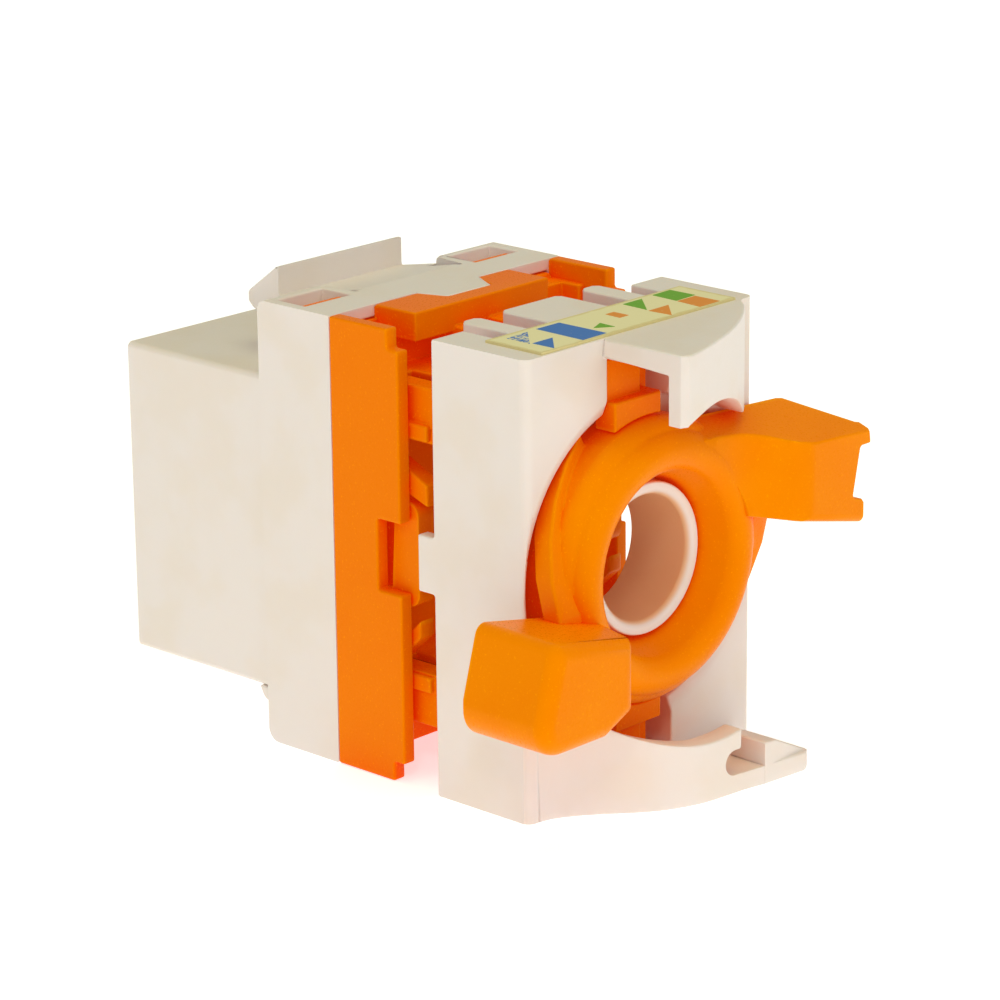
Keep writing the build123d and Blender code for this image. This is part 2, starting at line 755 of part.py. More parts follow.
# Right finger arm: flat blade with a notched tip, grown out of the top of the ring.
right_rear_plane = Plane(origin=(0, right_arm_rear, 0), x_dir=(1, 0, 0), z_dir=(0, -1, 0))
arm_end_x = -right_tip_x - tip_lip - 0.2
with BuildPart() as right_arm:
    with BuildSketch(right_rear_plane):
        with BuildLine():
            Polyline(
                (-arm_root, right_arm_foot),
                (-right_tip_x - tip_lip, 0.25),
                (-right_tip_x - tip_lip, 1.5),
                (-right_tip_x + 0.3, 1.75),
                (-right_tip_x - 0.25, 4.25),
                (arm_end_x - 0.35, 4.25),
                (arm_end_x, right_arm_top + 0.5),
                (neck_x, right_arm_top + 1),
            )
            neck_r = math.hypot(arm_root, right_arm_foot - axis_z)
            neck_z = axis_z + math.sqrt(neck_r**2 - neck_x**2)
            Line((neck_x, right_arm_top + 1), (neck_x, neck_z))
            turn_high = math.atan2(neck_z - axis_z, neck_x)
            turn_low = math.atan2(right_arm_foot - axis_z, -arm_root)
            turn_mid = (turn_high + turn_low) / 2
            neck_middle = (neck_r * math.cos(turn_mid), axis_z + neck_r * math.sin(turn_mid))
            ThreePointArc((neck_x, neck_z), neck_middle, (-arm_root, right_arm_foot))
        make_face()
    extrude(amount=right_arm_rear - arm_front)
    # top face falls towards the rear and towards the tip
    knee = (right_arm_knee, arm_front, right_arm_top)
    top_plane = Plane(origin=knee, z_dir=(-top_tilt_side, top_tilt_rear, 1))
    split(bisect_by=top_plane, keep=Keep.BOTTOM)
    # front of the tip slants back to the lips
    with BuildSketch(Plane.XY.offset(-1)):
        with BuildLine():
            Polyline(
                (right_arm_knee, arm_front - 0.1),
                (arm_end_x, right_arm_rear - lip_t),
                (arm_end_x - 2, right_arm_rear - lip_t),
                (arm_end_x - 2, arm_front - 0.1),
                (right_arm_knee, arm_front - 0.1),
            )
        make_face()
    extrude(amount=right_arm_top + 2, mode=Mode.SUBTRACT)
    # hollow sweep from the crest of the ring up to the rear face
    with BuildSketch(Plane.XY.offset(-1)):
        with BuildLine():
            Spline(
                (neck_x, neck_level),
                (neck_x - 1.5, neck_level + 0.05),
                (-arm_root, ring_crest + 0.2),
                (neck_end, right_arm_rear),
                tangents=((-1, 0.02), (-1, 0.25)),
            )
            Polyline(
                (neck_end, right_arm_rear),
                (neck_end, right_arm_rear + 1),
                (neck_x + 1, right_arm_rear + 1),
                (neck_x + 1, neck_level),
                (neck_x, neck_level),
            )
        make_face()
    extrude(amount=right_arm_top + 3, mode=Mode.SUBTRACT)
    rear_edges = right_arm.faces().sort_by(Axis.Y)[-1].edges()
    fillet(rear_edges.sort_by(Axis.Z)[0], right_arm_soft)
    brow = right_arm.faces().sort_by(Axis.Z)[-1].edges().sort_by(Axis.Y)[-2:]
    fillet(brow, right_brow_soft)

# Lever ring: rounded ring on the sleeve, two falling ramps and the two finger arms.
with BuildPart() as lever_ring:
    with BuildSketch(Plane(origin=(0, 0, axis_z), x_dir=(1, 0, 0), z_dir=(0, 0, 1))):
        with BuildLine():
            Line((ring_in, ring_floor), (ring_in, funnel_foot))
            Line((ring_in, funnel_foot), (funnel_r, funnel_top))
            ThreePointArc((funnel_r, funnel_top), (crest_r, ring_crest), (brow_r, brow_level))
            ThreePointArc((brow_r, brow_level), (ring_out - 0.15, ring_edge + 0.5), (ring_out, ring_edge))
            Line((ring_out, ring_edge), (ring_out, ring_floor))
            Line((ring_out, ring_floor), (ring_in, ring_floor))
        make_face()
    revolve(axis=Axis((0, 0, axis_z), (0, 1, 0)))
    # ramps: short radial sections joined along the turn
    ramp_in = crest_r + 0.5
    for turn in (0, 180):
        for k in range(-1, ramp_steps + 1):
            part_way = max(k / ramp_steps, 0)
            at = ramp_root if k < 0 else ramp_from + (ramp_to - ramp_from) * part_way
            ang = math.radians(turn + at)
            top = ramp_high + (ramp_low - ramp_high) * part_way
            low = max(top - ramp_t, ring_floor)
            radial = (math.cos(ang), 0, math.sin(ang))
            cross = (-math.sin(ang), 0, math.cos(ang))
            with BuildSketch(Plane(origin=(0, 0, axis_z), x_dir=radial, z_dir=cross)):
                with Locations(((ramp_in + ramp_r) / 2, (low + top) / 2)):
                    Rectangle(ramp_r - ramp_in, top - low)
        loft(ruled=True)
    add(left_arm.part)
    add(right_arm.part)
lever_ring.part.label = "lever_ring"
export_step(lever_ring.part, "parts/lever_ring.step")

# Wiring label on the top of the cap.
with BuildPart() as wiring_label:
    slab(-label_w / 2, label_w / 2, label_from, label_from + label_len, body_top, body_top + label_t)
wiring_label.part.label = "wiring_label"
export_step(wiring_label.part, "parts/wiring_label.step")
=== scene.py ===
import json
import math

import bmesh
import bpy
from mathutils import Matrix, Vector


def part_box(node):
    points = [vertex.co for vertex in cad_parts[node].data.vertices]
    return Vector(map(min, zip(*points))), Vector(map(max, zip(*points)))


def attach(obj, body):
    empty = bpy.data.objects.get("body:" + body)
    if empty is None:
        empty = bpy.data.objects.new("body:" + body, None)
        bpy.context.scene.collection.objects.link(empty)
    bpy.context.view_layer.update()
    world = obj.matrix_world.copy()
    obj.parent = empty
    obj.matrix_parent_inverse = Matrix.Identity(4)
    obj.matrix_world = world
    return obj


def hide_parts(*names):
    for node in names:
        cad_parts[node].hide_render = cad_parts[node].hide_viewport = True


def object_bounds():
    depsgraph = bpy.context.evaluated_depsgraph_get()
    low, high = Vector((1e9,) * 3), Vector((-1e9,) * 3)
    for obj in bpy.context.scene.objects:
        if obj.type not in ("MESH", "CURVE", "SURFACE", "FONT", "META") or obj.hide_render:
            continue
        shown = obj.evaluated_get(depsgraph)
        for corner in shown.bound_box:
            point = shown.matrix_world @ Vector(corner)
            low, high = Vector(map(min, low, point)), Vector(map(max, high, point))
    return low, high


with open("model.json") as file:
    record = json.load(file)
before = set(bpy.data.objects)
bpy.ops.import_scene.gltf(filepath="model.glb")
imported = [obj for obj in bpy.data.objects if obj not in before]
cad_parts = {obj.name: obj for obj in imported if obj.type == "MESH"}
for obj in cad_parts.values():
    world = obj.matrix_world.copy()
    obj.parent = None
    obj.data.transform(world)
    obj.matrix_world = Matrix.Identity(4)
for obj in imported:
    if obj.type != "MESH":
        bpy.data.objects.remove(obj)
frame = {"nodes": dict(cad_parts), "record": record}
CAD_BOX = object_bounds()

bl_info = {
    "name": "Keystone jack dresser",
    "version": (1, 0, 0),
    "blender": (4, 5, 0),
    "location": "View3D > Sidebar > Jack",
    "description": "Dresses the packed socket module in its plastics, metals and printed label",
    "category": "Object",
}

MM = 0.001
CABLE_AXIS_Z = 0.6 * MM
NODES = frame["nodes"]

# The photograph's camera, in degrees and millimetres
VIEW_AZIMUTH = 133.304
VIEW_ELEVATION = 16.969
VIEW_ROLL = -0.634
VIEW_DISTANCE = 202.17
VIEW_ASIDE = 6.094
VIEW_LIFT = -0.076
LENS_PER_SENSOR = 3.9841
SENSOR_MM = 36.0
CLIP_START = 0.005
CLIP_END = 20.0

# Nodes by finish
CONTACT_NODES = tuple("plug_contact_%d" % number for number in range(1, 9))
BLADE_NODES = tuple("idc_blade_%d" % number for number in range(1, 9))

# Rounding: angles in degrees, room and lengths as multiples of the round's width
SHARP_ANGLE = 32.0
CROWDED_ANGLE = 40.0
GOES_ON_ANGLE = 20.0
FOLDED_ANGLE = 150.0
HARD_ANGLE = 46.0
FLAT_ANGLE = 0.6
ROOM_NEEDED = 2.3
SHORTEST_EDGE = 0.5
SPARED_REACH = 2.0

# Rounding: faces across a round, how often it is done again, and how much a face's size counts
ROUND_FACES = 2
SMALL_ROUND_FACES = 1
ROUNDING_TRIES = 6
CORNER_WEIGHT = 80

# Heights at which the long strips of a rounded corner are cut, and how far out the corner lies
STRIP_CUTS = {"wire_cap": (5.3 * MM, -4.3 * MM)}
CORNER_X = 7.6 * MM

# Scales of the patterns, in cycles to a metre
WHITE_GRAIN = 7000.0
WHITE_CLOUDS = 230.0
WHITE_SPECKS = 520.0
ORANGE_GRAIN = 8200.0
ORANGE_CLOUDS = 190.0
LABEL_WOBBLE = 1500.0
INK_SCRATCHES = 5200.0
GOLD_LINES = 2600.0
TIN_LINES = 2200.0
BOARD_WEAVE = 900.0

# The part of a noise of 0 to 1 over which a pattern goes from nothing to full
SPARKLE_SPAN = (0.62, 0.74)
WHITE_CLOUD_SPAN = (0.42, 0.66)
WHITE_GRAIN_SPAN = (0.2, 0.8)
ORANGE_CLOUD_SPAN = (0.38, 0.68)
ORANGE_GRAIN_SPAN = (0.25, 0.75)

# Roughness where a pattern is at nothing and at full
WHITE_ROUGHNESS = (0.36, 0.50)
ORANGE_ROUGHNESS = (0.24, 0.40)
METAL_ROUGHNESS = (0.14, 0.34)

# Dirt specks on white: their radius, the share of cells that have one, and how dark they are
SPECK_SIZE = 0.045
SPECK_SHARE = 0.07
SPECK_STRENGTH = 0.5

# How far the painted bounce light and painted shade in nooks and the painted highlight on edges reach, and
# how strongly they and the painted glints colour
CAP_PAINTED_BOUNCE_REACH = 6.0 * MM
RING_PAINTED_BOUNCE_STRENGTH = 0.5
BORE_PAINTED_SHADE_AND_BOUNCE_STRENGTH = 0.7
ORANGE_PAINTED_SHADE_REACH = 3.5 * MM
ORANGE_PAINTED_HIGHLIGHT_WIDTH = 0.22 * MM
ORANGE_PAINTED_HIGHLIGHT_STRENGTH = 0.7
PAINTED_GLINT_STRENGTH = 0.4

# Heights of the bumps
PLASTIC_BUMP = 0.02 * MM
FINE_BUMP = 0.01 * MM

# The stained rim of the label: how far it wanders, its widths and its strength
RIM_DRIFT = 0.3 * MM
RIM_SIDE = 0.12 * MM
RIM_END = 0.1 * MM
RIM_OUTSIDE = 0.1 * MM
RIM_STRENGTH = 0.45

# Ink: the noise at which it gives way, how much lower that is when worn, how soft its rim is,
# and how much of the paper then shows, new and worn
INK_HOLDS_TO = 0.68
INK_WEAR = 0.2
INK_EDGE = 0.06
INK_GONE = 0.25
INK_GONE_WORN = 0.6

# Shares of red, green and blue that a pattern leaves of a colour
WHITE_CLOUD_TINT = (0.985, 0.965, 0.92)
ORANGE_CLOUD_TINT = (0.98, 0.9, 1.0)
# Painted shade: the orange turns redder where it is closed in
ORANGE_PAINTED_SHADE_TINT = (1.0, 0.12, 1.0)
# Painted highlight: the orange turns yellower along its edges
ORANGE_PAINTED_HIGHLIGHT_TINT = (1.0, 1.5, 1.0)
METAL_LINE_TINT = (0.82, 0.82, 0.82)
BOARD_THREAD_TINT = (0.75, 0.75, 0.75)

# Fixed colours
DIRT = (0.42, 0.30, 0.20)
# Painted orange light, as if bounced from the ring onto the white cap
RING_PAINTED_BOUNCE = (0.90, 0.34, 0.08)
# Painted shade with painted orange bounce light inside the cap's cable bore
BORE_PAINTED_SHADE_AND_BOUNCE = (0.80, 0.40, 0.10)
# Colour of the painted glints scattered over the orange
ORANGE_PAINTED_GLINT = (1.0, 0.42, 0.0)
ORANGE_SHEEN = (1.0, 0.7, 0.0, 1.0)
# Colour of a painted glow: the orange gives off a little red light though it is no lamp
ORANGE_PAINTED_GLOW = (1.0, 0.08, 0.0, 1.0)
LABEL_STAIN = (0.62, 0.47, 0.13)

# Where the cap carries painted bounce light from the ring and painted shade in its bore: radii from the
# cable axis, and how wide it fades
POCKET_R = 9.6 * MM
POCKET_FADE = 1.2 * MM
BORE_R = 3.13 * MM
BORE_FADE = 0.2 * MM

# Soft lights: azimuth and elevation in degrees, distance and side in metres, power in watts
LIGHTS = (
    ("front_panel", 133.0, 14.0, 0.7, 0.5, 0.37, (0.97, 0.985, 1.0)),
    ("top_panel", 150.0, 86.0, 0.6, 0.5, 1.3, (1.0, 1.0, 0.5)),
    ("side_glint", 85.0, 40.0, 0.5, 0.1, 0.14, (1.0, 0.97, 0.92)),
    ("rear_glint", 192.0, 26.0, 0.5, 0.2, 0.34, (1.0, 0.985, 0.95)),
    ("camera_glint", 128.0, 38.0, 0.45, 0.06, 0.20, (1.0, 0.98, 0.95)),
)
WORLD_COLOUR = (1.0, 0.985, 0.965, 1.0)
WORLD_STRENGTH = 0.31
FLOOR_COLOUR = (0.93, 0.93, 0.93, 1.0)
FLOOR_GLOW = (0.97, 0.98, 1.0, 1.0)
FLOOR_STRENGTH = 0.58
FLOOR_GAP = 0.02 * MM

# Sockets of the colour mix
MIX_FACTOR = 0
MIX_COLOURS = (6, 7)
MIX_RESULT = 2

# Printed fields of the label: name, outline in millimetres, ink
PRINT_FIELDS = (
    ("print_blue_wedge_front", ((6.02, 14.6), (6.02, 16.05), (4.5, 14.5)), "worn_blue"),
    ("print_blue_wedge_rear", ((5.9, 16.1), (5.88, 17.45), (4.52, 16.1)), "blue"),
    ("print_blue_band", ((3.85, 14.45), (3.92, 17.46), (2.24, 17.42), (2.26, 14.45)), "blue"),
    ("print_green_mark", ((1.05, 15.95), (1.95, 16.35), (1.1, 16.95)), "green"),
    ("print_amber_mark", ((-0.35, 15.05), (-0.3, 16.0), (-0.95, 16.0), (-0.95, 15.05)), "amber"),
    ("print_green_wedge", ((-2.35, 14.38), (-2.28, 15.98), (-3.74, 14.38)), "green"),
    ("print_amber_wedge", ((-2.2, 16.15), (-2.3, 17.52), (-3.68, 16.12)), "amber"),
    ("print_green_band", ((-4.62, 14.28), (-4.54, 15.88), (-6.0, 15.82), (-5.97, 14.25)), "green"),
    ("print_amber_band", ((-4.52, 15.96), (-4.38, 17.5), (-5.88, 17.48), (-5.86, 15.94)), "amber"),
)

BODY_OF = {
    member: body
    for body, members in frame["record"]["behaviour"]["bodies"].items()
    for member in members
}


# Settings


class JackSizes(bpy.types.PropertyGroup):
    """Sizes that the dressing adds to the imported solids."""

    edge_round: bpy.props.FloatProperty(
        name="Edge rounding", description="Width of the soft edge on moulded pieces",
        default=0.11 * MM, min=0.0, unit="LENGTH", precision=5,
    )
    small_round: bpy.props.FloatProperty(
        name="Small edge rounding", description="Width of the soft edge where there is little room",
        default=0.045 * MM, min=0.0, unit="LENGTH", precision=6,
    )
    merge_gap: bpy.props.FloatProperty(
        name="Merge distance", description="Corners nearer than this become one",
        default=0.0004 * MM, min=0.0, unit="LENGTH", precision=7,
    )
    ink_height: bpy.props.FloatProperty(
        name="Ink height", description="How far the printed fields stand above the label",
        default=0.012 * MM, min=0.0, unit="LENGTH", precision=6,
    )
    floor_size: bpy.props.FloatProperty(
        name="Floor size", description="Side of the square floor", default=3.0, unit="LENGTH",
    )


class JackColours(bpy.types.PropertyGroup):
    """Colours of the finishes."""

    white: bpy.props.FloatVectorProperty(
        name="White plastic", description="Warm white of the housing and cap",
        default=(0.83, 0.757, 0.72), size=3, subtype="COLOR", min=0.0, max=1.0,
    )
    orange: bpy.props.FloatVectorProperty(
        name="Frame orange", description="Orange of the frame",
        default=(0.80, 0.198, 0.0), size=3, subtype="COLOR", min=0.0, max=1.0,
    )
    lever_orange: bpy.props.FloatVectorProperty(
        name="Lever orange", description="Yellower orange of the lever ring",
        default=(0.82, 0.245, 0.0), size=3, subtype="COLOR", min=0.0, max=1.0,
    )
    paper: bpy.props.FloatVectorProperty(
        name="Label", description="Cream of the label", default=(0.86, 0.80, 0.47),
        size=3, subtype="COLOR", min=0.0, max=1.0,
    )
    blue: bpy.props.FloatVectorProperty(
        name="Blue ink", description="Blue field", default=(0.055, 0.19, 0.58),
        size=3, subtype="COLOR", min=0.0, max=1.0,
    )
    green: bpy.props.FloatVectorProperty(
        name="Green ink", description="Green field", default=(0.16, 0.42, 0.02),
        size=3, subtype="COLOR", min=0.0, max=1.0,
    )
    amber: bpy.props.FloatVectorProperty(
        name="Orange ink", description="Orange field", default=(0.80, 0.29, 0.03),
        size=3, subtype="COLOR", min=0.0, max=1.0,
    )
    gold: bpy.props.FloatVectorProperty(
        name="Plug contacts", description="Gold plating", default=(0.85, 0.62, 0.25),
        size=3, subtype="COLOR", min=0.0, max=1.0,
    )
    tin: bpy.props.FloatVectorProperty(
        name="Blades", description="Tin plating", default=(0.62, 0.61, 0.58),
        size=3, subtype="COLOR", min=0.0, max=1.0,
    )
    board: bpy.props.FloatVectorProperty(
        name="Board", description="Green lacquer of the circuit board", default=(0.015, 0.11, 0.04),
        size=3, subtype="COLOR", min=0.0, max=1.0,
    )


# Shared shader groups


def new_group(name, inputs, outputs):
    """An empty shader group with named inputs and outputs."""
    group = bpy.data.node_groups.new(name, "ShaderNodeTree")
    for label, kind, value in inputs:
        socket = group.interface.new_socket(name=label, in_out="INPUT", socket_type=kind)
        if value is not None:
            socket.default_value = value
    for label, kind in outputs:
        group.interface.new_socket(name=label, in_out="OUTPUT", socket_type=kind)
    entry = group.nodes.new("NodeGroupInput")
    leave = group.nodes.new("NodeGroupOutput")
    return group, entry, leave


def math_node(tree, operation, first, second=None, third=None):
    """A Math node with its inputs linked or set."""
    node = tree.nodes.new("ShaderNodeMath")
    node.operation = operation
    for index, value in enumerate((first, second, third)):
        if value is None:
            continue
        if isinstance(value, (int, float)):
            node.inputs[index].default_value = value
        else:
            tree.links.new(value, node.inputs[index])
    return node.outputs[0]


def ramp_between(tree, value, low, high):
    """0 at low, 1 at high, smooth between."""
    node = tree.nodes.new("ShaderNodeMapRange")
    node.interpolation_type = "SMOOTHSTEP"
    node.inputs["From Min"].default_value = low
    node.inputs["From Max"].default_value = high
    tree.links.new(value, node.inputs["Value"])
    return node.outputs["Result"]


def moulded_grain_group():
    """Fine grain and slow cloudiness of injection-moulded plastic, and a scattered sparkle mask on which
    painted glints are laid.
    """
    group, entry, leave = new_group(
        "moulded_grain",
        [
            ("Vector", "NodeSocketVector", None),
            ("Grain Scale", "NodeSocketFloat", 9000.0),
            ("Cloud Scale", "NodeSocketFloat", 260.0),
        ],
        [("Height", "NodeSocketFloat"), ("Cloud", "NodeSocketFloat"), ("Sparkle", "NodeSocketFloat")],
    )
    fine = group.nodes.new("ShaderNodeTexNoise")
    fine.inputs["Detail"].default_value = 2.0
    group.links.new(entry.outputs["Vector"], fine.inputs["Vector"])
    group.links.new(entry.outputs["Grain Scale"], fine.inputs["Scale"])
    cloud = group.nodes.new("ShaderNodeTexNoise")
    cloud.inputs["Detail"].default_value = 3.0
    group.links.new(entry.outputs["Vector"], cloud.inputs["Vector"])
    group.links.new(entry.outputs["Cloud Scale"], cloud.inputs["Scale"])
    sparkle = ramp_between(group, fine.outputs["Fac"], *SPARKLE_SPAN)
    group.links.new(fine.outputs["Fac"], leave.inputs["Height"])
    group.links.new(cloud.outputs["Fac"], leave.inputs["Cloud"])
    group.links.new(sparkle, leave.inputs["Sparkle"])
    return group


def speck_group():
    """A few small specks of dirt, scattered at random."""
    group, entry, leave = new_group(
        "dirt_specks",
        [
            ("Vector", "NodeSocketVector", None),
            ("Scale", "NodeSocketFloat", 420.0),
            ("Size", "NodeSocketFloat", 0.06),
            ("Share", "NodeSocketFloat", 0.1),
        ],
        [("Mask", "NodeSocketFloat")],
    )
    cells = group.nodes.new("ShaderNodeTexVoronoi")
    group.links.new(entry.outputs["Vector"], cells.inputs["Vector"])
    group.links.new(entry.outputs["Scale"], cells.inputs["Scale"])
    chance = group.nodes.new("ShaderNodeSeparateColor")
    group.links.new(cells.outputs["Color"], chance.inputs["Color"])
    picked = math_node(group, "LESS_THAN", chance.outputs["Red"], entry.outputs["Share"])
    near = math_node(group, "LESS_THAN", cells.outputs["Distance"], entry.outputs["Size"])
    both = math_node(group, "MULTIPLY", picked, near)
    group.links.new(both, leave.inputs["Mask"])
    return group


def edge_group():
    """How near a place is to an outer edge, 1 on the edge and 0 away from it."""
    group, entry, leave = new_group(
        "painted_edge_highlight",
        [
            ("Width", "NodeSocketFloat", 0.2 * MM),
            ("Low", "NodeSocketFloat", 0.08),
            ("High", "NodeSocketFloat", 0.55),
        ],
        [("Mask", "NodeSocketFloat")],
    )
    behind = group.nodes.new("ShaderNodeAmbientOcclusion")
    behind.samples = 6
    behind.inside = True
    behind.only_local = True
    group.links.new(entry.outputs["Width"], behind.inputs["Distance"])
    thin = math_node(group, "SUBTRACT", 1.0, behind.outputs["AO"])
    spread = group.nodes.new("ShaderNodeMapRange")
    group.links.new(thin, spread.inputs["Value"])
    group.links.new(entry.outputs["Low"], spread.inputs["From Min"])
    group.links.new(entry.outputs["High"], spread.inputs["From Max"])
    group.links.new(spread.outputs["Result"], leave.inputs["Mask"])
    return group


def nook_group():
    """How far a place is closed in by what stands round it, 0 in the open and 1 in a nook."""
    group, entry, leave = new_group(
        "nooks",
        [
            ("Reach", "NodeSocketFloat", 2.0 * MM),
            ("Low", "NodeSocketFloat", 0.1),
            ("High", "NodeSocketFloat", 0.8),
        ],
        [("Mask", "NodeSocketFloat")],
    )
    near = group.nodes.new("ShaderNodeAmbientOcclusion")
    near.samples = 8
    group.links.new(entry.outputs["Reach"], near.inputs["Distance"])
    closed = math_node(group, "SUBTRACT", 1.0, near.outputs["AO"])
    spread = group.nodes.new("ShaderNodeMapRange")
    group.links.new(closed, spread.inputs["Value"])
    group.links.new(entry.outputs["Low"], spread.inputs["From Min"])
    group.links.new(entry.outputs["High"], spread.inputs["From Max"])
    group.links.new(spread.outputs["Result"], leave.inputs["Mask"])
    return group


# Materials


def start_material(name):
    """A material with an empty tree, its Principled BSDF and the object coordinates."""
    material = bpy.data.materials.new(name)
    material.use_nodes = True
    tree = material.node_tree
    tree.nodes.clear()
    shader = tree.nodes.new("ShaderNodeBsdfPrincipled")
    output = tree.nodes.new("ShaderNodeOutputMaterial")
    tree.links.new(shader.outputs["BSDF"], output.inputs["Surface"])
    place = tree.nodes.new("ShaderNodeTexCoord")
    return material, tree, shader, place.outputs["Object"]


def place_group(tree, name, maker, vector, **values):
    """Puts a shared shader group in a tree, made once, and sets its inputs by name."""
    node = tree.nodes.new("ShaderNodeGroup")
    node.node_tree = bpy.data.node_groups.get(name) or maker()
    if vector is not None:
        tree.links.new(vector, node.inputs["Vector"])
    for label, value in values.items():
        node.inputs[label.replace("_", " ")].default_value = value
    return node.outputs


def mix_colour(tree, factor, first, second):
    """A colour mix. Each colour is a socket or three numbers."""
    node = tree.nodes.new("ShaderNodeMix")
    node.data_type = "RGBA"
    tree.links.new(factor, node.inputs[MIX_FACTOR])
    for index, value in zip(MIX_COLOURS, (first, second)):
        if isinstance(value, bpy.types.NodeSocket):
            tree.links.new(value, node.inputs[index])
        else:
            node.inputs[index].default_value = (*value, 1.0)
    return node.outputs[MIX_RESULT]


def add_bump(tree, shader, height, strength, distance):
    """Bumps the surface by a height."""
    bump = tree.nodes.new("ShaderNodeBump")
    bump.inputs["Strength"].default_value = strength
    bump.inputs["Distance"].default_value = distance
    tree.links.new(height, bump.inputs["Height"])
    tree.links.new(bump.outputs["Normal"], shader.inputs["Normal"])


def tinted(colour, shares):
    """A colour with each of its parts scaled by a share."""
    return tuple(part * share for part, share in zip(colour, shares))


def rough_between(tree, shader, mask, smooth, dull):
    """Roughness from smooth where the mask is 0 to dull where it is 1."""
    tree.links.new(math_node(tree, "MULTIPLY_ADD", mask, dull - smooth, smooth), shader.inputs["Roughness"])


def mould_grain(tree, vector, grain, clouds):
    """The shared grain of moulded plastic."""
    return place_group(
        tree, "moulded_grain", moulded_grain_group, vector, Grain_Scale=grain, Cloud_Scale=clouds,
    )


def near_axis(tree, vector, radius, fade):
    """1 within a radius of the cable axis, 0 beyond the fade."""
    centre = tree.nodes.new("ShaderNodeMapping")
    centre.inputs["Location"].default_value = (0.0, 0.0, -CABLE_AXIS_Z)
    centre.inputs["Scale"].default_value = (1.0, 0.0, 1.0)
    tree.links.new(vector, centre.inputs["Vector"])
    length = tree.nodes.new("ShaderNodeVectorMath")
    length.operation = "LENGTH"
    tree.links.new(centre.outputs["Vector"], length.inputs[0])
    beyond = ramp_between(tree, length.outputs["Value"], radius, radius + fade)
    return math_node(tree, "SUBTRACT", 1.0, beyond)


def ring_bounce_and_bore_shade(tree, vector, ground):
    """The colour of the white cap, with painted orange bounce light where the ring stands close, and
    painted shade with orange bounce light in the bore.
    """
    nooks = place_group(tree, "nooks", nook_group, None, Reach=CAP_PAINTED_BOUNCE_REACH, Low=0.4, High=0.9)
    round_ring = math_node(
        tree, "MULTIPLY", near_axis(tree, vector, POCKET_R, POCKET_FADE), RING_PAINTED_BOUNCE_STRENGTH,
    )
    painted_bounce = math_node(tree, "MULTIPLY", nooks["Mask"], round_ring)
    with_painted_bounce = mix_colour(tree, painted_bounce, ground, RING_PAINTED_BOUNCE)
    bore_shade_and_bounce = math_node(
        tree, "MULTIPLY", near_axis(tree, vector, BORE_R, BORE_FADE), BORE_PAINTED_SHADE_AND_BOUNCE_STRENGTH,
    )
    return mix_colour(tree, bore_shade_and_bounce, with_painted_bounce, BORE_PAINTED_SHADE_AND_BOUNCE)


def white_plastic(colours, name="white_plastic", paints_bounce_and_shade=False):
    """Warm white moulded plastic with faint clouds, fine grain and a few specks; on the cap it also carries
    painted orange bounce light round the ring and painted shade in the bore.
    """
    material, tree, shader, vector = start_material(name)
    base = tuple(colours.white)
    grain = mould_grain(tree, vector, WHITE_GRAIN, WHITE_CLOUDS)
    specks = place_group(
        tree, "dirt_specks", speck_group, vector,
        Scale=WHITE_SPECKS, Size=SPECK_SIZE, Share=SPECK_SHARE,
    )
    cloud = ramp_between(tree, grain["Cloud"], *WHITE_CLOUD_SPAN)
    ground = mix_colour(tree, cloud, base, tinted(base, WHITE_CLOUD_TINT))
    dirt = math_node(tree, "MULTIPLY", specks["Mask"], SPECK_STRENGTH)
    colour = mix_colour(tree, dirt, ground, DIRT)
    # On the cap: painted orange bounce light round the ring and painted shade in the bore
    if paints_bounce_and_shade:
        colour = ring_bounce_and_bore_shade(tree, vector, colour)
    tree.links.new(colour, shader.inputs["Base Color"])
    matt = ramp_between(tree, grain["Height"], *WHITE_GRAIN_SPAN)
    rough_between(tree, shader, matt, *WHITE_ROUGHNESS)
    shader.inputs["Subsurface Weight"].default_value = 0.18
    shader.inputs["Subsurface Radius"].default_value = (1.0, 0.7, 0.5)
    shader.inputs["Subsurface Scale"].default_value = 0.5 * MM
    shader.inputs["IOR"].default_value = 1.49
    add_bump(tree, shader, grain["Height"], strength=0.22, distance=PLASTIC_BUMP)
    return material


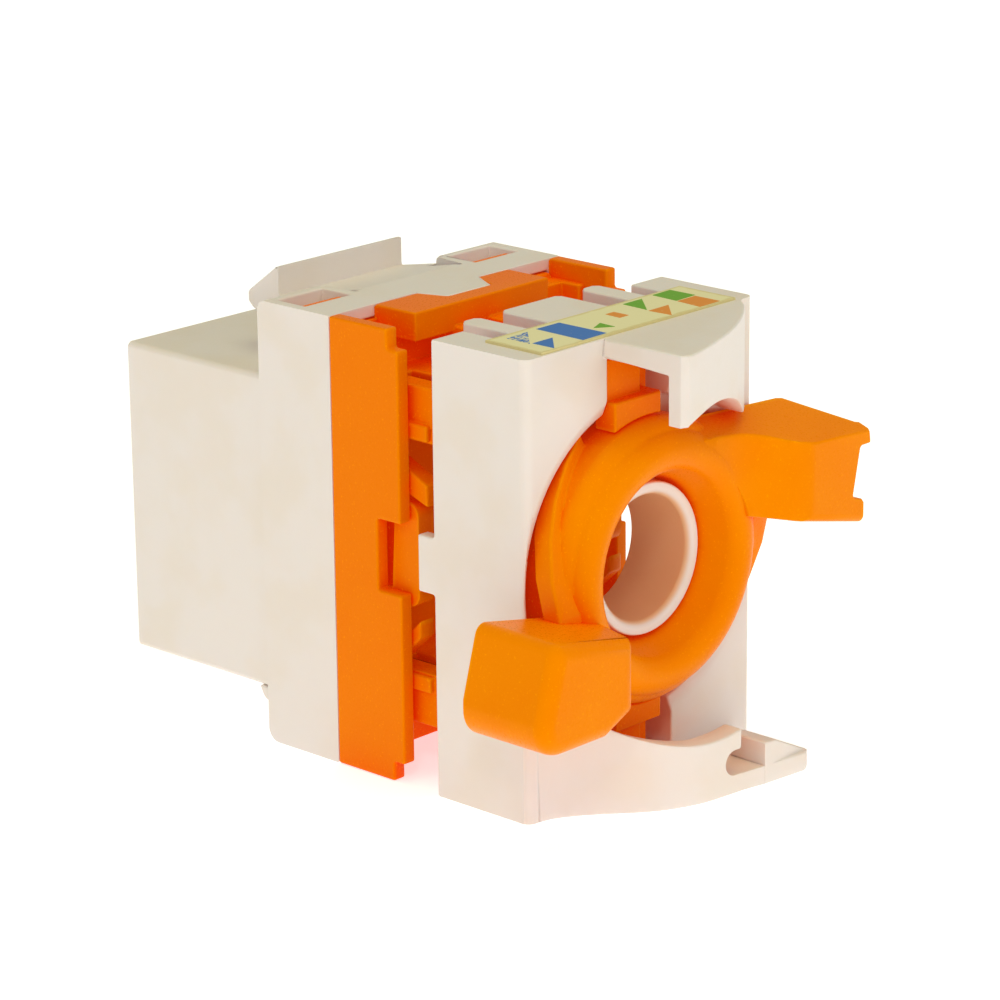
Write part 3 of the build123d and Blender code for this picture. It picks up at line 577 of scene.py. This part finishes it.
def orange_plastic(name, orange):
    """Saturated orange plastic, redder where it is closed in by painted shade, yellower along its edges by
    a painted highlight, with painted glints as a fine yellow glitter and a faint painted glow.
    """
    material, tree, shader, vector = start_material(name)
    base = tuple(orange)
    grain = mould_grain(tree, vector, ORANGE_GRAIN, ORANGE_CLOUDS)
    nooks = place_group(tree, "nooks", nook_group, None, Reach=ORANGE_PAINTED_SHADE_REACH, Low=0.32, High=0.9)
    edges = place_group(tree, "painted_edge_highlight", edge_group, None, Width=ORANGE_PAINTED_HIGHLIGHT_WIDTH)
    cloud = ramp_between(tree, grain["Cloud"], *ORANGE_CLOUD_SPAN)
    ground = mix_colour(tree, cloud, base, tinted(base, ORANGE_CLOUD_TINT))
    # Painted shade: redder where the orange is closed in
    body = mix_colour(tree, nooks["Mask"], ground, tinted(base, ORANGE_PAINTED_SHADE_TINT))
    # Painted highlight: yellower along the edges, standing in for light caught there
    edge_highlight_amount = math_node(tree, "MULTIPLY", edges["Mask"], ORANGE_PAINTED_HIGHLIGHT_STRENGTH)
    wear_and_edge_highlight = mix_colour(tree, edge_highlight_amount, body, tinted(base, ORANGE_PAINTED_HIGHLIGHT_TINT))
    # Painted glints: a scattered yellow glitter in the base colour
    painted_glints = math_node(tree, "MULTIPLY", grain["Sparkle"], PAINTED_GLINT_STRENGTH)
    tree.links.new(mix_colour(tree, painted_glints, wear_and_edge_highlight, ORANGE_PAINTED_GLINT), shader.inputs["Base Color"])
    matt = ramp_between(tree, grain["Height"], *ORANGE_GRAIN_SPAN)
    rough_between(tree, shader, matt, *ORANGE_ROUGHNESS)
    shader.inputs["Specular Tint"].default_value = ORANGE_SHEEN
    # Painted glow: a faint red light of its own that lifts the orange in its shade
    shader.inputs["Emission Color"].default_value = ORANGE_PAINTED_GLOW
    shader.inputs["Emission Strength"].default_value = 0.12
    shader.inputs["IOR"].default_value = 1.5
    shader.inputs["Specular IOR Level"].default_value = 0.07
    add_bump(tree, shader, grain["Height"], strength=0.2, distance=PLASTIC_BUMP)
    return material


def rim_mask(tree, place, drift, middle, half, inside):
    """1 at the rim of the label in one direction, 0 further in than the given width."""
    from_middle = math_node(tree, "ABSOLUTE", math_node(tree, "SUBTRACT", place, middle))
    wavy = math_node(tree, "ADD", from_middle, drift)
    return ramp_between(tree, wavy, half - inside, half + RIM_OUTSIDE)


def label_paper(colours, low, high):
    """Cream label under a clear film, yellowed and dirty along its rim."""
    material, tree, shader, vector = start_material("label_paper")
    parts = tree.nodes.new("ShaderNodeSeparateXYZ")
    tree.links.new(vector, parts.inputs["Vector"])
    middle = (low + high) / 2
    half = (high - low) / 2
    wobble = tree.nodes.new("ShaderNodeTexNoise")
    wobble.inputs["Scale"].default_value = LABEL_WOBBLE
    wobble.inputs["Detail"].default_value = 3.0
    tree.links.new(vector, wobble.inputs["Vector"])
    drift = math_node(tree, "MULTIPLY", wobble.outputs["Fac"], RIM_DRIFT)
    rim_x = rim_mask(tree, parts.outputs["X"], drift, middle.x, half.x, RIM_SIDE)
    rim_y = rim_mask(tree, parts.outputs["Y"], drift, middle.y, half.y, RIM_END)
    rim = math_node(tree, "MULTIPLY", math_node(tree, "MAXIMUM", rim_x, rim_y), RIM_STRENGTH)
    tree.links.new(mix_colour(tree, rim, tuple(colours.paper), LABEL_STAIN), shader.inputs["Base Color"])
    shader.inputs["Roughness"].default_value = 0.5
    shader.inputs["Specular IOR Level"].default_value = 0.2
    shader.inputs["Coat Weight"].default_value = 0.1
    shader.inputs["Coat Roughness"].default_value = 0.25
    add_bump(tree, shader, wobble.outputs["Fac"], strength=0.15, distance=PLASTIC_BUMP)
    return material


def ink(name, colour, paper, wear_and_edge_highlight):
    """Printed ink, with paper showing through where it is worn."""
    material, tree, shader, vector = start_material(name)
    scratch = tree.nodes.new("ShaderNodeTexNoise")
    scratch.inputs["Scale"].default_value = INK_SCRATCHES
    scratch.inputs["Detail"].default_value = 4.0
    tree.links.new(vector, scratch.inputs["Vector"])
    low = INK_HOLDS_TO - INK_WEAR * wear_and_edge_highlight
    gone = ramp_between(tree, scratch.outputs["Fac"], low, low + INK_EDGE)
    amount = math_node(tree, "MULTIPLY", gone, INK_GONE + INK_GONE_WORN * wear_and_edge_highlight)
    tree.links.new(mix_colour(tree, amount, tuple(colour), tuple(paper)), shader.inputs["Base Color"])
    shader.inputs["Roughness"].default_value = 0.45
    shader.inputs["Specular IOR Level"].default_value = 0.2
    shader.inputs["Coat Weight"].default_value = 0.05
    shader.inputs["Coat Roughness"].default_value = 0.25
    add_bump(tree, shader, scratch.outputs["Fac"], strength=0.15, distance=FINE_BUMP)
    return material


def plated_metal(name, colour, scale):
    """Plated sheet metal with rolling lines."""
    material, tree, shader, vector = start_material(name)
    stretch = tree.nodes.new("ShaderNodeMapping")
    stretch.inputs["Scale"].default_value = (1.0, 0.06, 1.0)
    tree.links.new(vector, stretch.inputs["Vector"])
    lines = tree.nodes.new("ShaderNodeTexNoise")
    lines.inputs["Scale"].default_value = scale
    lines.inputs["Detail"].default_value = 3.0
    tree.links.new(stretch.outputs["Vector"], lines.inputs["Vector"])
    tone = mix_colour(tree, lines.outputs["Fac"], tuple(colour), tinted(colour, METAL_LINE_TINT))
    tree.links.new(tone, shader.inputs["Base Color"])
    rough_between(tree, shader, lines.outputs["Fac"], *METAL_ROUGHNESS)
    shader.inputs["Metallic"].default_value = 1.0
    add_bump(tree, shader, lines.outputs["Fac"], strength=0.12, distance=FINE_BUMP)
    return material


def board_lacquer(colours):
    """Green lacquer over a woven board."""
    material, tree, shader, vector = start_material("board_lacquer")
    weave = tree.nodes.new("ShaderNodeTexWave")
    weave.inputs["Scale"].default_value = BOARD_WEAVE
    weave.inputs["Distortion"].default_value = 1.5
    tree.links.new(vector, weave.inputs["Vector"])
    base = tuple(colours.board)
    tone = mix_colour(tree, weave.outputs["Fac"], base, tinted(base, BOARD_THREAD_TINT))
    tree.links.new(tone, shader.inputs["Base Color"])
    shader.inputs["Roughness"].default_value = 0.35
    shader.inputs["Coat Weight"].default_value = 0.5
    shader.inputs["Coat Roughness"].default_value = 0.15
    add_bump(tree, shader, weave.outputs["Fac"], strength=0.1, distance=FINE_BUMP)
    return material


# Mesh helpers


def set_material(obj, material):
    """Gives an object one material in every slot."""
    if not obj.data.materials:
        obj.data.materials.append(material)
    for index in range(len(obj.data.materials)):
        obj.data.materials[index] = material


def clear_width(edge, face):
    """Distance from an edge to the nearest corner of its face that the edge doesn't touch."""
    start = edge.verts[0].co
    run = edge.verts[1].co - start
    length = run.length_squared
    nearest = math.inf
    for corner in face.verts:
        if corner in edge.verts:
            continue
        along = max(0.0, min(1.0, (corner.co - start).dot(run) / length))
        nearest = min(nearest, (start + run * along - corner.co).length)
    return nearest


def narrow_corner(edge, vert, chosen, angle):
    """True if a chosen edge beside this one leaves the same corner in nearly the same direction."""
    out = (edge.other_vert(vert).co - vert.co).normalized()
    for other in vert.link_edges:
        if other is edge or other not in chosen:
            continue
        beside = (other.other_vert(vert).co - vert.co).normalized()
        if out.angle(beside, 0.0) < angle:
            return True
    return False


def dead_end(edge, vert):
    """True if an edge fades out at this corner, with no other edge to carry its round on."""
    others = [other for other in vert.link_edges if other is not edge and len(other.link_faces) == 2]
    return all(other.calc_face_angle(0.0) < math.radians(GOES_ON_ANGLE) for other in others)


def touches(edge, places, reach):
    """True if an end of the edge lies within reach of one of the places."""
    return any((vert.co - place).length < reach for vert in edge.verts for place in places)


def edges_to_round(shape, offset, spared):
    """The sharp edges that have room for a round of this width and don't touch a spared place."""
    chosen = set()
    for edge in shape.edges:
        if len(edge.link_faces) != 2 or edge.calc_face_angle(0.0) < math.radians(SHARP_ANGLE):
            continue
        if edge.calc_length() < SHORTEST_EDGE * offset or touches(edge, spared, SPARED_REACH * offset):
            continue
        if any(dead_end(edge, vert) for vert in edge.verts):
            continue
        if min(clear_width(edge, face) for face in edge.link_faces) > ROOM_NEEDED * offset:
            chosen.add(edge)
    tight = math.radians(CROWDED_ANGLE)
    crowded = {
        edge for edge in chosen
        if any(narrow_corner(edge, vert, chosen, tight) for vert in edge.verts)
    }
    return [edge for edge in shape.edges if edge in chosen and edge not in crowded]


def round_edges(shape, offset, segments, spared):
    """Rounds the edges that have room for it."""
    bmesh.ops.bevel(
        shape, geom=edges_to_round(shape, offset, spared), offset=offset, offset_type="OFFSET",
        affect="EDGES", segments=segments, profile=0.5, material=-1, clamp_overlap=False,
        miter_outer="ARC",
    )


def cut_corners(shape, level):
    """Cuts the faces of the outer corners at a height."""
    strips = [face for face in shape.faces if min(abs(vert.co.x) for vert in face.verts) > CORNER_X]
    edges = {edge for face in strips for edge in face.edges}
    verts = {vert for face in strips for vert in face.verts}
    bmesh.ops.bisect_plane(
        shape, geom=[*verts, *edges, *strips], plane_co=(0.0, 0.0, level), plane_no=(0.0, 0.0, 1.0),
    )


def rounded_shape(node, sizes, spared):
    """The faces of a CAD node, made whole, with its edges rounded in two widths."""
    shape = bmesh.new()
    shape.from_mesh(NODES[node].data)
    bmesh.ops.remove_doubles(shape, verts=shape.verts, dist=sizes.merge_gap)
    bmesh.ops.dissolve_limit(
        shape, angle_limit=math.radians(FLAT_ANGLE), use_dissolve_boundaries=False,
        verts=shape.verts, edges=shape.edges,
    )
    for level in STRIP_CUTS.get(node, ()):
        cut_corners(shape, level)
    round_edges(shape, sizes.edge_round, ROUND_FACES, spared)
    round_edges(shape, sizes.small_round, SMALL_ROUND_FACES, spared)
    return shape


def folded_places(shape):
    """Corners at which a face has folded back over its neighbour."""
    folded = math.radians(FOLDED_ANGLE)
    edges = [
        edge for edge in shape.edges
        if len(edge.link_faces) == 2 and edge.calc_face_angle(0.0) > folded
    ]
    return [vert.co.copy() for edge in edges for vert in edge.verts]


def is_new(place, known, gap):
    """True if a place lies further than the gap from every known place."""
    return all((place - other).length > gap for other in known)


def sparing_round(node, sizes):
    """The rounded shape of a CAD node, sparing the places where a round would fold a face over."""
    spared = []
    shape = rounded_shape(node, sizes, spared)
    for _ in range(ROUNDING_TRIES):
        fresh = [place for place in folded_places(shape) if is_new(place, spared, sizes.edge_round)]
        if not fresh:
            break
        spared += fresh
        shape.free()
        shape = rounded_shape(node, sizes, spared)
    return shape


def mark_hard_edges(shape):
    """Smooth faces, with the hard edges kept sharp."""
    hard = math.radians(HARD_ANGLE)
    for face in shape.faces:
        face.smooth = True
    for edge in shape.edges:
        edge.smooth = len(edge.link_faces) == 2 and edge.calc_face_angle(0.0) <= hard


def link_piece(name, mesh, material):
    """A new object of one material in the scene."""
    obj = bpy.data.objects.new(name, mesh)
    bpy.context.scene.collection.objects.link(obj)
    set_material(obj, material)
    return obj


def finished_copy(node, material, sizes):
    """A copy of a CAD node with whole faces and softly rounded edges, shown in its place."""
    mesh = bpy.data.meshes.new(node + "_moulding")
    shape = sparing_round(node, sizes)
    mark_hard_edges(shape)
    shape.to_mesh(mesh)
    shape.free()
    for attribute in [item for item in mesh.attributes if item.name.startswith("custom_normal")]:
        mesh.attributes.remove(attribute)
    obj = link_piece(node + "_moulding", mesh, material)
    weights = obj.modifiers.new("face_weights", "WEIGHTED_NORMAL")
    weights.keep_sharp = True
    weights.weight = CORNER_WEIGHT
    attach(obj, BODY_OF[node])
    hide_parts(node)
    return obj


def thin_field(name, outline, base, height, material):
    """A flat printed field with square edges, standing on a plane."""
    mesh = bpy.data.meshes.new(name)
    shape = bmesh.new()
    ring = [shape.verts.new((x * MM, y * MM, base)) for x, y in outline]
    face = shape.faces.new(ring)
    raised = bmesh.ops.extrude_face_region(shape, geom=[face])
    top = [item for item in raised["geom"] if isinstance(item, bmesh.types.BMVert)]
    bmesh.ops.translate(shape, verts=top, vec=(0.0, 0.0, height))
    bmesh.ops.recalc_face_normals(shape, faces=shape.faces)
    shape.to_mesh(mesh)
    shape.free()
    return link_piece(name, mesh, material)


# Directions


def direction(azimuth, elevation):
    """The direction of an azimuth and elevation in degrees, out from the object."""
    around = math.radians(azimuth)
    above = math.radians(elevation)
    level = math.cos(above)
    return Vector((math.sin(around) * level, -math.cos(around) * level, math.sin(above)))


# Operators


class JACK_OT_white_mouldings(bpy.types.Operator):
    """Dress the white housing, contact carrier and wire cap."""

    bl_idname = "jack.white_mouldings"
    bl_label = "White mouldings"

    def execute(self, context):
        colours = context.scene.jack_colours
        plain = white_plastic(colours)
        # The cap's material carries painted bounce light and painted shade
        white_with_painted_bounce = white_plastic(colours, "white_plastic_painted_bounce", paints_bounce_and_shade=True)
        for node, material in (("front_housing", plain), ("wire_cap", white_with_painted_bounce)):
            obj = finished_copy(node, material, context.scene.jack_sizes)
        set_material(NODES["contact_carrier"], plain)
        return {"FINISHED"}


class JACK_OT_orange_mouldings(bpy.types.Operator):
    """Dress the orange frame and lever ring."""

    bl_idname = "jack.orange_mouldings"
    bl_label = "Orange mouldings"

    def execute(self, context):
        colours = context.scene.jack_colours
        frame_orange = orange_plastic("orange_frame", colours.orange)
        lever_orange = orange_plastic("orange_lever", colours.lever_orange)
        for node, material in (("idc_frame", frame_orange), ("lever_ring", lever_orange)):
            obj = finished_copy(node, material, context.scene.jack_sizes)
        return {"FINISHED"}


class JACK_OT_metal_pieces(bpy.types.Operator):
    """Plate the plug contacts and the punch-down blades."""

    bl_idname = "jack.metal_pieces"
    bl_label = "Contacts and blades"

    def execute(self, context):
        colours = context.scene.jack_colours
        gold = plated_metal("gold_plating", colours.gold, GOLD_LINES)
        tin = plated_metal("tin_plating", colours.tin, TIN_LINES)
        for node in CONTACT_NODES:
            set_material(NODES[node], gold)
        for node in BLADE_NODES:
            set_material(NODES[node], tin)
        return {"FINISHED"}


class JACK_OT_board(bpy.types.Operator):
    """Lacquer the circuit board."""

    bl_idname = "jack.board"
    bl_label = "Circuit board"

    def execute(self, context):
        set_material(NODES["circuit_board"], board_lacquer(context.scene.jack_colours))
        return {"FINISHED"}


class JACK_OT_label(bpy.types.Operator):
    """Dress the label and print its coloured fields."""

    bl_idname = "jack.label"
    bl_label = "Label and print"

    def execute(self, context):
        colours = context.scene.jack_colours
        low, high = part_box("wiring_label")
        set_material(NODES["wiring_label"], label_paper(colours, low, high))
        inks = {
            "blue": ink("ink_blue", colours.blue, colours.paper, 0.0),
            "worn_blue": ink("ink_blue_worn", colours.blue, colours.paper, 1.0),
            "green": ink("ink_green", colours.green, colours.paper, 0.1),
            "amber": ink("ink_amber", colours.amber, colours.paper, 0.1),
        }
        height = context.scene.jack_sizes.ink_height
        for name, outline, ink_name in PRINT_FIELDS:
            obj = thin_field(name, outline, high.z, height, inks[ink_name])
            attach(obj, BODY_OF["wiring_label"])
        return {"FINISHED"}


class JACK_OT_studio(bpy.types.Operator):
    """Set up the pale floor, the soft lights and the camera."""

    bl_idname = "jack.studio"
    bl_label = "Studio"

    def execute(self, context):
        scene = context.scene
        self.make_world(scene)
        self.make_floor(scene)
        aim = (CAD_BOX[0] + CAD_BOX[1]) / 2
        for light in LIGHTS:
            self.make_light(scene, aim, *light)
        self.make_camera(scene)
        scene.view_settings.view_transform = "Standard"
        scene.view_settings.look = "None"
        return {"FINISHED"}

    def make_world(self, scene):
        """Even pale surroundings."""
        world = bpy.data.worlds.new("pale_surroundings")
        world.use_nodes = True
        background = world.node_tree.nodes["Background"]
        background.inputs["Color"].default_value = WORLD_COLOUR
        background.inputs["Strength"].default_value = WORLD_STRENGTH
        scene.world = world

    def make_floor(self, scene):
        """A plain white floor that glows a little, like a light table."""
        size = scene.jack_sizes.floor_size
        mesh = bpy.data.meshes.new("floor")
        shape = bmesh.new()
        bmesh.ops.create_grid(shape, x_segments=1, y_segments=1, size=size / 2)
        bmesh.ops.translate(shape, verts=shape.verts, vec=(0.0, 0.0, CAD_BOX[0].z - FLOOR_GAP))
        shape.to_mesh(mesh)
        shape.free()
        material, _, shader, _ = start_material("floor_white")
        shader.inputs["Base Color"].default_value = FLOOR_COLOUR
        shader.inputs["Roughness"].default_value = 0.9
        shader.inputs["Specular IOR Level"].default_value = 0.1
        shader.inputs["Emission Color"].default_value = FLOOR_GLOW
        shader.inputs["Emission Strength"].default_value = FLOOR_STRENGTH
        link_piece("floor", mesh, material)

    def make_light(self, scene, aim, name, azimuth, elevation, distance, size, power, colour):
        """A square soft light that looks at the object from an azimuth and elevation in degrees."""
        light = bpy.data.lights.new(name, "AREA")
        light.shape = "SQUARE"
        light.size = size
        light.energy = power
        light.color = colour
        obj = bpy.data.objects.new(name, light)
        out = direction(azimuth, elevation)
        obj.location = aim + out * distance
        obj.rotation_mode = "QUATERNION"
        obj.rotation_quaternion = out.to_track_quat("Z", "Y")
        scene.collection.objects.link(obj)

    def make_camera(self, scene):
        """The photograph's camera."""
        around = math.radians(VIEW_AZIMUTH)
        roll = math.radians(VIEW_ROLL)
        back = direction(VIEW_AZIMUTH, VIEW_ELEVATION)
        level = Vector((math.cos(around), math.sin(around), 0.0))
        above = back.cross(level)
        right = level * math.cos(roll) + above * math.sin(roll)
        up = above * math.cos(roll) - level * math.sin(roll)
        camera_data = bpy.data.cameras.new("photo_camera")
        camera_data.sensor_fit = "HORIZONTAL"
        camera_data.sensor_width = SENSOR_MM
        camera_data.lens = LENS_PER_SENSOR * SENSOR_MM
        camera_data.clip_start = CLIP_START
        camera_data.clip_end = CLIP_END
        camera = bpy.data.objects.new("photo_camera", camera_data)
        place = (back * VIEW_DISTANCE + right * VIEW_ASIDE + up * VIEW_LIFT) * MM
        turn = Matrix((right, up, back)).transposed().to_4x4()
        camera.matrix_world = Matrix.Translation(place) @ turn
        scene.collection.objects.link(camera)
        scene.camera = camera


class JACK_PT_panel(bpy.types.Panel):
    """Lists the steps that dress the module."""

    bl_idname = "JACK_PT_panel"
    bl_label = "Keystone jack"
    bl_space_type = "VIEW_3D"
    bl_region_type = "UI"
    bl_category = "Jack"

    def draw(self, context):
        layout = self.layout
        for setting in SIZE_SETTINGS:
            layout.prop(context.scene.jack_sizes, setting)
        for setting in COLOUR_SETTINGS:
            layout.prop(context.scene.jack_colours, setting)
        for step in STEPS:
            layout.operator(step.bl_idname)


SIZE_SETTINGS = ("edge_round", "small_round", "merge_gap", "ink_height", "floor_size")
COLOUR_SETTINGS = (
    "white", "orange", "lever_orange", "paper", "blue", "green", "amber", "gold", "tin", "board",
)
STEPS = (
    JACK_OT_white_mouldings,
    JACK_OT_orange_mouldings,
    JACK_OT_metal_pieces,
    JACK_OT_board,
    JACK_OT_label,
    JACK_OT_studio,
)
CLASSES = (JackSizes, JackColours) + STEPS + (JACK_PT_panel,)


def register():
    """Registers the settings, steps and panel."""
    for cls in CLASSES:
        bpy.utils.register_class(cls)
    bpy.types.Scene.jack_sizes = bpy.props.PointerProperty(type=JackSizes)
    bpy.types.Scene.jack_colours = bpy.props.PointerProperty(type=JackColours)


def unregister():
    """Takes them out again."""
    del bpy.types.Scene.jack_colours
    del bpy.types.Scene.jack_sizes
    for cls in reversed(CLASSES):
        bpy.utils.unregister_class(cls)


def main():
    """Runs every step in order."""
    register()
    bpy.ops.jack.white_mouldings()
    bpy.ops.jack.orange_mouldings()
    bpy.ops.jack.metal_pieces()
    bpy.ops.jack.board()
    bpy.ops.jack.label()
    bpy.ops.jack.studio()


if __name__ == "__main__":
    main()
